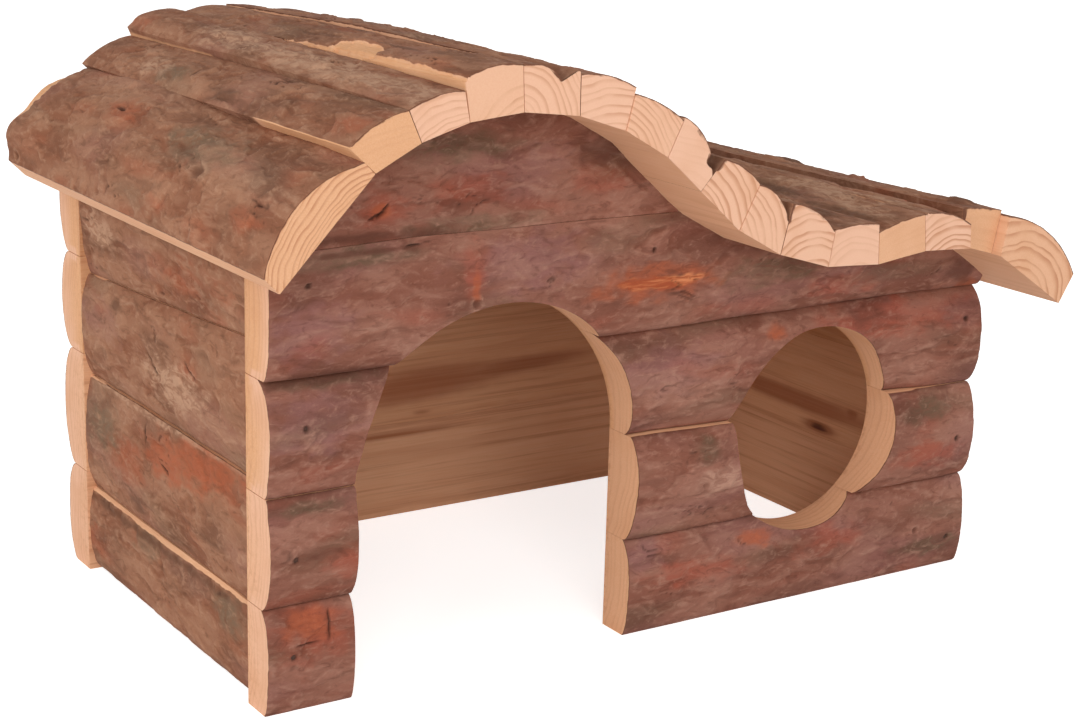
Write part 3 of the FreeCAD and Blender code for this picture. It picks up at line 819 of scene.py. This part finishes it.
def circle_through(a, b, c):
    rows = np.array([b - a, c - a]) * 2
    sums = np.array([b @ b - a @ a, c @ c - a @ a])
    centre = np.linalg.solve(rows, sums)
    return centre, np.hypot(*(a - centre))


# Where a slanting side leaves a circle with a moving centre: the angle seen from the centre
def side_angle(foot, direction, centre, radius):
    to_foot = foot - centre
    ahead = -(to_foot @ direction)
    reach = ahead + np.sqrt(ahead ** 2 - (to_foot ** 2).sum(-1) + radius ** 2)
    rim = to_foot + reach[:, None] * direction
    return np.arctan2(rim[:, 1], rim[:, 0])


class Slat:
    """A log slab: flat underside between two joints, sawn sides, and bark that bends."""

    def __init__(self, number):
        row = SLATS[number - 1]
        self.number = number
        self.node = "roof_slat_%02d" % number
        self.foot0, out0 = wave_at(JOINTS[number - 1])
        self.foot1, out1 = wave_at(JOINTS[number])
        self.width = np.hypot(*(self.foot1 - self.foot0))
        self.across = (self.foot1 - self.foot0) / self.width
        self.out = np.array((-self.across[1], self.across[0]))
        self.middle = (self.foot0 + self.foot1) / 2
        self.side0 = turned(out0, LEANS[number - 1])
        self.side1 = turned(out1, LEANS[number])
        left_edge, crown, right_edge, self.growth, self.back_growth, self.drift = row[1:7]
        self.centre, self.radius = circle_through(self.foot0 + self.side0 * left_edge,
                                                  self.middle + self.out * crown,
                                                  self.foot1 + self.side1 * right_edge)
        self.front = roof_front + row[8] + 0.4 * scramble(number, 4, 6)
        self.length = roof_back - self.front
        self.pith = self.middle + np.array(SLAT_GRAIN[number - 1][:2])
        angle0, angle1 = self.bark_span(np.zeros(1))
        self.over = float(self.radius * (angle0 - angle1)[0])

    # How far the log has moved at a share of the length
    def shift(self, u):
        u = (self.front - roof_front + u * self.length) / roof_length
        near = np.minimum(2 * u, 1)[:, None]
        far = np.maximum(2 * u - 1, 0)[:, None]
        half_drift = self.across * (self.drift / 2)
        return (near * (self.out * self.growth + half_drift)
                + far * (self.out * (self.back_growth - self.growth) + half_drift))

    # Angles at which the bark starts on the left and ends on the right
    def bark_span(self, u):
        centre = self.centre + self.shift(u)
        angle0 = side_angle(self.foot0, self.side0, centre, self.radius)
        angle1 = side_angle(self.foot1, self.side1, centre, self.radius)
        return np.where(angle0 < angle1, angle0 + 2 * math.pi, angle0), angle1

    # Bark height and masks; the lifted bark settles towards the sides and the sawn ends
    def relief(self, u, s):
        along = u * self.length
        from_side = np.minimum(s, 1 - s) * self.over
        from_end = np.minimum(along, self.length - along)
        settled = ROOF_RELIEF * smooth_step(from_side, -1.0, 2.5)
        settled = settled * (0.12 + 0.88 * smooth_step(from_end, 0.5, 20))
        lift, masks = bark(along, s * self.over, MARKS.get(self.node, ()), 100 + 31 * self.number,
                           settled)
        if self.number == FURROW_SLAT:
            back = smooth_step(along, 5, 45)
            wander = 0.8 * back * noise(along / 30, 0 * along, 77)
            off = (1 - s) * self.over - FURROW_FROM_RIGHT + wander
            left = FURROW_LEFT[0] + (FURROW_LEFT[1] - FURROW_LEFT[0]) * back
            right = FURROW_RIGHT[0] + (FURROW_RIGHT[1] - FURROW_RIGHT[0]) * back
            dip = np.where(off > 0, np.clip(1 - off / left, 0, 1) ** 1.8,
                           np.clip(1 + off / right, 0, 1))
            lift = lift - FURROW_DEPTH * dip
            # Painted shade in the furrow: darker where it is deeper
            raise_mask(masks, "dark", 0.5 * dip)
        return lift, masks

    def place(self, u, s, h):
        inset = GAP / self.width
        s = inset + (1 - 2 * inset) * s
        angle0, angle1 = self.bark_span(u)
        angle = angle0 + (angle1 - angle0) * s
        ray = np.stack((np.cos(angle), np.sin(angle)), -1)
        lift = self.relief(u, s)[0]
        top = self.centre + self.shift(u) + ray * (self.radius + lift)[:, None]
        base = self.foot0 + (self.foot1 - self.foot0) * s[:, None]
        point = base + (top - base) * h[:, None]
        from_end = np.minimum(u, 1 - u) * self.length
        point = sanded(point, self.middle + self.out * 6, from_end)
        return np.stack((point[:, 0], self.front + u * self.length, point[:, 1]), -1)

    def build(self):
        base_rows = max(4, round(self.width / SLAT_BASE_STEP))
        mesh = log_mesh(self.node, self.length, self.over, base_rows, (ROOF_BARK, SAWN_PINE),
                        self.place)
        u, s, h = (read_values(mesh, name) for name in "ush")
        lift, masks = self.relief(u, s)
        points = read_points(mesh)[:, (0, 2)]
        angle0, angle1 = self.bark_span(u)
        from_centre = points - self.centre - self.shift(u)
        angle = np.arctan2(from_centre[:, 1], from_centre[:, 0])
        angle = np.where(angle < angle1 - 0.5, angle + 2 * math.pi, angle)
        skin = self.radius + lift - np.hypot(*from_centre.T)
        skin = np.where((angle < angle0 + 0.1) & (angle > angle1 - 0.1), skin, NO_RIM)
        off_side = self.off_left_side(points)
        place_along = read_points(mesh)[:, 1]
        if self.number in WRAPPED_SIDES:
            thickness = WRAPPED_SIDES[self.number]
            beside = off_side * BARK_SKIN / thickness + 6 * np.clip(0.62 - h, 0, 1)
            skin = np.minimum(skin, beside)
            self.wrap_side(mesh)
        if self.number in BARE_SIDES:
            start, end, up_to = BARE_SIDES[self.number]
            from_front = place_along - roof_front
            inside = smooth_step(from_front, start - 4, start + 4)
            inside = inside * (1 - smooth_step(from_front, end - 14, end + 4))
            on_side = (off_side < 0.5) & (h < up_to)
            raise_mask(masks, "bare", inside * on_side)
        off_pith = points - self.pith
        log = (place_along + SLAT_GRAIN_STEP * self.number, off_pith @ self.across,
               off_pith @ self.out)
        ring_width, strength, last, tan = SLAT_GRAIN[self.number - 1][2:]
        on_end = (np.minimum(u, 1 - u) * self.length < ON_END).astype(float)
        grain = (ring_width, strength * (0.3 + 0.7 * on_end), last)
        tan = np.where(on_end > 0, tan, np.maximum(0.55, 0.9 * masks["bare"]))
        write_looks(mesh, skin, log, grain, (tan, 0, 0), masks)
        stand_in(mesh, self.node)

    # Distance of points from the sawn left side
    def off_left_side(self, points):
        return (points - self.foot0) @ np.array((self.side0[1], -self.side0[0]))

    # Gives the sawn left side the bark's material
    def wrap_side(self, mesh):
        for face in mesh.polygons:
            off_side = self.off_left_side(np.array(face.center)[[0, 2]] / MM)
            if abs(off_side) < 0.4 and abs(face.normal.y) < 0.5:
                face.material_index = 0


# Rounds the edge of a sawn end: points near the end move towards the section's middle
def sanded(points, middle, from_end):
    inward = middle - points
    inward = inward / np.hypot(*inward.T)[:, None]
    return points + inward * (SANDING * np.clip(1 - from_end / STEP, 0, 1))[:, None]


# ---- Cutters for the walls

def prism_along_y(name, outline, y0, y1, cuts):
    bm = bmesh.new()
    ring = [bm.verts.new((x * MM, y0 * MM, z * MM)) for x, z in outline]
    face = bm.faces.new(ring)
    grown = bmesh.ops.extrude_face_region(bm, geom=[face])["geom"]
    moved = [item for item in grown if isinstance(item, bmesh.types.BMVert)]
    bmesh.ops.translate(bm, verts=moved, vec=(0, (y1 - y0) * MM, 0))
    bm.edges.ensure_lookup_table()
    long_edges = [e for e in bm.edges if abs(e.verts[0].co.y - e.verts[1].co.y) > 1e-6]
    if cuts:
        bmesh.ops.subdivide_edges(bm, edges=long_edges, cuts=cuts, use_grid_fill=True)
    for face in bm.faces:
        face.material_index = 1
    bmesh.ops.recalc_face_normals(bm, faces=bm.faces)
    mesh = bpy.data.meshes.new(name)
    for material in (WALL_BARK, SAWN_PINE):
        mesh.materials.append(material)
    bm.to_mesh(mesh)
    bm.free()
    return add_object(name, mesh)


def arc(x, z, radius, turns):
    return [(x + radius * math.cos(turn), z + radius * math.sin(turn)) for turn in turns]


def door_outline():
    rising = np.linspace(-5, DOOR_SPRING, 49)[:-1]
    left = [(DOOR_X - DOOR_RADIUS, z) for z in rising]
    right = [(DOOR_X + DOOR_RADIUS, z) for z in rising[::-1]]
    return left + arc(DOOR_X, DOOR_SPRING, DOOR_RADIUS, np.linspace(math.pi, 0, 97)) + right


def window_outline():
    return arc(WINDOW_X, WINDOW_Z, WINDOW_RADIUS, np.linspace(0, 2 * math.pi, 129)[:-1])


# Above the slats' flat undersides
def wave_outline():
    feet = [tuple(wave_at(joint)[0]) for joint in JOINTS]
    sky = 2 * CREST_HEIGHT
    return feet + [(feet[-1][0], sky), (feet[0][0], sky)]


def cut_away(mesh, cutters):
    piece = add_object("cutting", mesh)
    for cutter in cutters:
        saw = piece.modifiers.new("saw", "BOOLEAN")
        saw.operation = "DIFFERENCE"
        saw.solver = "MANIFOLD"
        saw.object = cutter
    view = bpy.context.evaluated_depsgraph_get()
    result = bpy.data.meshes.new_from_object(piece.evaluated_get(view), depsgraph=view)
    bpy.data.objects.remove(piece)
    return result


# ---- Walls

# Seeds of the noise on each wall
FRONT_SEED = 10
BACK_SEED = 30
LEFT_SEED = 50
RIGHT_SEED = 70

# How dark the painted shade in each seam is, from the ground up, on the front wall and on the
# others
FRONT_SEAM_SHADE = (0.0, 0.0, 0.3, 0.5, 0.0, 0.0)
SEAM_SHADE = (0.0, 0.2, 0.0, 0.05, 0.25, 0.0)

# How tan and how streaky the boards' inner faces are, from the ground up, the upper faces darker
# partly by the wood's tone and partly as painted shade inside the house; how tan their sawn ends
# and edges are;
# and their ring width, ring strength and radius without rings
INNER_TAN_AND_SHADE = (0.6, 0.7, 1.5, 2.0, 2.0)
INNER_STREAKS = (1.4, 1.2, 0.9, 0.6, 0.6)
END_TAN = 0.35
EDGE_TAN = 0.65
BOARD_GRAIN = (2.4, 0.3, 500.0)

# Step along the grain from one board's wood to the next one's, and spacing of the rows on the
# inner face
BOARD_GRAIN_STEP = 613
BOARD_BASE_STEP = 1.5

# Radius of the pit over a brad, waviness of an inner seam, overlap of a short board with the
# door, and length of the two crest boards as a share of the wall's
PIT_RADIUS = 1.15
SEAM_WAVE = 0.6
UNDER_DOOR = 5
CREST_SHARE = 0.6

# How far the door and window saws reach out from and into the house, and their cuts in depth
SAW_OUT = 22
SAW_IN = 4
SAW_CUTS = 26


# Distance from the door's and the window's outline
def off_openings(x, z):
    off_door = np.hypot(x - DOOR_X, np.maximum(z - DOOR_SPRING, 0)) - DOOR_RADIUS
    off_window = np.hypot(x - WINDOW_X, z - WINDOW_Z) - WINDOW_RADIUS
    return np.minimum(off_door, off_window)


class Wall:
    """A stack of half-round boards along one side of the house."""

    def __init__(self, corner, run, outward, length, edge_depth, boards, brads, bark, seed):
        self.corner = np.array(corner, float)
        self.run = np.array(run, float)
        self.outward = np.array(outward, float)
        self.length = length
        self.edge_depth = edge_depth
        self.boards = boards
        self.brads = brads
        self.bark = bark
        self.seed = seed
        self.heights = np.cumsum([0.0] + [row[0] for row in boards])
        self.rises = [0.0] + [row[4] for row in boards]

    # A seam's height at a distance along the wall; only inner seams wave
    def seam(self, number, along):
        straight = self.heights[number] + self.rises[number] * along / self.length
        if number in (0, len(self.boards)):
            return straight
        wave = layered_noise(along / 60, 0 * along + 0.5, self.seed + number, 2)
        return straight + SEAM_WAVE * wave

    # Depth of the bark, and its masks, at a distance along and a height on one board
    def surface(self, course, along, height, marks):
        low_edge, crown, high_edge = self.boards[course][1:4]
        bottom = self.seam(course, along)
        top = self.seam(course + 1, along)
        s = np.clip((height - bottom) / (top - bottom), 0, 1)
        edge = low_edge + (high_edge - low_edge) * s
        round_part = (1 - np.abs(2 * s - 1) ** 2.2) ** 0.625
        off_seam = np.minimum(s, 1 - s) * (top - bottom)
        from_end = np.minimum(along, self.length - along)
        settled = smooth_step(off_seam, -1.0, 3.0) * (0.4 + 0.6 * smooth_step(from_end, 0, 8))
        if self.seed == FRONT_SEED:
            off_saw = off_openings(left_end + along, height)
            settled = settled * (0.25 + 0.75 * smooth_step(off_saw, 0, 7))
        lift, masks = bark(along, height, marks, self.seed + 13 * course, settled)
        # Painted shade: the bark darkens in patches along the seams, and this goes into the crack
        # mask
        seam_shades = FRONT_SEAM_SHADE if self.seed == FRONT_SEED else SEAM_SHADE
        patchy = smooth_step(noise(along / 25, height / 60, self.seed + 5), -0.4, 0.4)
        painted_seam_shade = np.where(s < 0.5, seam_shades[course], seam_shades[course + 1]) * patchy
        painted_seam_shade = painted_seam_shade * (1 - smooth_step(off_seam, 0.1, 1.0))
        raise_mask(masks, "crack", painted_seam_shade)
        return self.edge_depth + edge + (crown - edge) * round_part + lift, masks

    def board(self, node, course, begin, end, cutters):
        marks = list(MARKS.get(node, ()))
        marks += [("pit", x, z, PIT_RADIUS, PIT_RADIUS) for x, z in self.brads]
        length = end - begin
        height = self.boards[course][0]
        lower_gap = GAP if course else 0.0

        def place(u, s, h):
            along = begin + u * length
            bottom = self.seam(course, along) + lower_gap
            top = self.seam(course + 1, along) - GAP
            rise = bottom + (top - bottom) * s
            depth = self.surface(course, along, rise, marks)[0] * h
            section = np.stack((depth, rise), -1)
            middle = np.array((self.edge_depth / 2, self.heights[course] + height / 2))
            section = sanded(section, middle, np.minimum(along, self.length - along))
            point = self.corner + self.run * along[:, None] + self.outward * section[:, :1]
            point[:, 2] = np.maximum(section[:, 1], 0.0)
            return point

        mesh = log_mesh(node, length, height * 1.2, round(height / BOARD_BASE_STEP),
                        (self.bark, SAWN_PINE), place)
        if cutters:
            mesh = cut_away(mesh, cutters)
        points = read_points(mesh)
        offset = points - self.corner
        along = offset @ self.run
        depth = offset @ self.outward
        full, masks = self.surface(course, along, points[:, 2], marks)
        pith_depth = -34 - 18 * scramble(self.seed, course, 4)
        pith_height = self.heights[course] + height * (0.3 + 0.4 * scramble(course, self.seed, 8))
        log = (along + BOARD_GRAIN_STEP * (self.seed + course), points[:, 2] - pith_height,
               depth - pith_depth)
        inner = 1 - smooth_step(depth, 0.2, 2.5)
        from_end = np.minimum(along, self.length - along)
        tan = np.where(from_end < ON_END, END_TAN, EDGE_TAN)
        tan = tan + (INNER_TAN_AND_SHADE[course] - tan) * inner
        grain = (np.full(len(along), value) for value in BOARD_GRAIN)
        deep = (masks["heart"] + masks["core"]) * inner
        streaky = inner * INNER_STREAKS[course]
        write_looks(mesh, full - depth, log, grain, (tan, deep, streaky), masks)
        stand_in(mesh, node)

    # One board in each course; those from first_sawn up are cut by the roof's saw
    def stack(self, node, first_sawn, saw, top_share=1.0):
        top = len(self.boards) - 1
        for course in range(top + 1):
            self.board(node % (course + 1), course, 0,
                       self.length * (top_share if course == top else 1.0),
                       (saw,) if course >= first_sawn else ())


def walls():
    saw_span = (front_inner - SAW_OUT, front_inner + SAW_IN, SAW_CUTS)
    door = prism_along_y("door_saw", door_outline(), *saw_span)
    window = prism_along_y("window_saw", window_outline(), *saw_span)
    above = prism_along_y("roof_saw", wave_outline(), roof_front, roof_back, 0)

    front = Wall((left_end, front_inner, 0), (1, 0, 0), (0, -1, 0), wall_length, FRONT_BOARD,
                 FRONT_BOARDS, FRONT_BRADS, WALL_BARK, FRONT_SEED)
    door_at = DOOR_X - left_end
    window_at = WINDOW_X - left_end
    for name, course, begin, end, cutters in (
            ("left_board_1", 0, 0, door_at - UNDER_DOOR, (door,)),
            ("left_board_2", 1, 0, door_at - UNDER_DOOR, (door,)),
            ("left_board_3", 2, 0, door_at - UNDER_DOOR, (door,)),
            ("right_board_1", 0, door_at, wall_length, (door, window)),
            ("middle_board_2", 1, door_at, window_at, (door, window)),
            ("right_board_2", 1, window_at, wall_length, (window,)),
            ("right_board_3", 2, door_at, wall_length, (door, window)),
            ("arch_board", 3, 0, wall_length, (door, above)),
            ("crest_board", 4, 0, wall_length * CREST_SHARE, (above,))):
        front.board("front_wall_" + name, course, begin, end, cutters)

    Wall((left_end, back_inner, 0), (1, 0, 0), (0, 1, 0), wall_length, BACK_BOARD, BACK_BOARDS,
         BACK_BRADS, WALL_BARK, BACK_SEED).stack("back_wall_board_%d", 2, above, CREST_SHARE)
    Wall((left_inner, front_inner, 0), (0, 1, 0), (-1, 0, 0), side_length, SIDE_BOARD,
         LEFT_BOARDS, (), ROOF_BARK, LEFT_SEED).stack("left_side_board_%d", 3, above)
    Wall((right_inner, front_inner, 0), (0, 1, 0), (1, 0, 0), side_length, SIDE_BOARD,
         RIGHT_BOARDS, (), ROOF_BARK, RIGHT_SEED).stack("right_side_board_%d", 2, above)
    for cutter in (door, window, above):
        bpy.data.objects.remove(cutter)



walls()
for number in range(1, len(SLATS) + 1):
    Slat(number).build()
for node in ("front_wall_brads", "back_wall_brads"):
    for slot in frame["nodes"][node].material_slots:
        slot.material = STEEL


# ---- Floor, light and camera

WHITE = (1.0, 1.0, 1.0, 1.0)
FLOOR_COLOUR = srgb(246, 246, 244)
FLOOR_GLOW = 0.72
SKY_STRENGTH = 0.48

# Lamps: place and aim, in metres, size and watts
LAMPS = {"key": ((-0.7, -1.5, 0.9), (0, 0, 0.1), 1.0, 9.1),
         "left_fill": ((-1.5, -0.5, 0.5), (0, 0, 0.1), 1.0, 9.6),
         "right_fill": ((1.2, -1.2, 0.9), (0, 0, 0.1), 1.2, 3.0),
         "low_fill": ((-0.3, -1.5, 0.2), (0, 0, 0.08), 0.8, 2.4)}

# Camera at the photograph's angle: place in metres, turn in degrees, lens in millimetres
CAMERA_PLACE = (-0.37656, -0.57457, 0.26036)
CAMERA_TURN = (74.910, -1.523, -32.794)
CAMERA_LENS = 70.31


# 1 for what the camera sees directly or in a reflection, else 0
def seen(wires):
    path = wires.node("LightPath").outputs
    return wires.math("MAXIMUM", path["Is Camera Ray"], path["Is Glossy Ray"])


def floor():
    bm = bmesh.new()
    bmesh.ops.create_grid(bm, x_segments=4, y_segments=4, size=4.0)
    mesh = bpy.data.meshes.new("floor")
    bm.to_mesh(mesh)
    bm.free()
    material, wires = new_material("pale_floor")
    glow = wires.product(seen(wires), FLOOR_GLOW)
    shader = wires.node("BsdfPrincipled", {"Base Color": FLOOR_COLOUR, "Roughness": 0.9,
                                                     "Emission Color": WHITE,
                                                     "Emission Strength": glow})
    wires.node("OutputMaterial", {"Surface": shader.outputs[0]})
    mesh.materials.append(material)
    plane = add_object("floor", mesh)


def world():
    sky = bpy.data.worlds.new("studio")
    sky.use_nodes = True
    sky.node_tree.nodes.clear()
    wires = Wiring(sky.node_tree)
    strength = wires.math("MULTIPLY_ADD", seen(wires), 1.0 - SKY_STRENGTH, SKY_STRENGTH)
    back = wires.node("Background", {"Color": WHITE, "Strength": strength})
    wires.node("OutputWorld", {"Surface": back.outputs[0]})
    bpy.context.scene.world = sky


def area_light(name, place, aim, size, watts):
    data = bpy.data.lights.new(name, "AREA")
    data.shape = "SQUARE"
    data.size = size
    data.energy = watts
    lamp = add_object(name, data)
    lamp.location = place
    x, y, z = np.array(aim, float) - np.array(place, float)
    lamp.rotation_euler = (math.atan2(math.hypot(x, y), -z), 0, math.atan2(y, x) - math.pi / 2)


def camera():
    data = bpy.data.cameras.new("camera")
    data.sensor_width = 36.0
    data.lens = CAMERA_LENS
    eye = add_object("camera", data)
    eye.location = CAMERA_PLACE
    eye.rotation_euler = [math.radians(angle) for angle in CAMERA_TURN]
    bpy.context.scene.camera = eye


floor()
world()
for name, lamp in LAMPS.items():
    area_light(name, *lamp)
camera()
bpy.context.scene.view_settings.view_transform = "Standard"
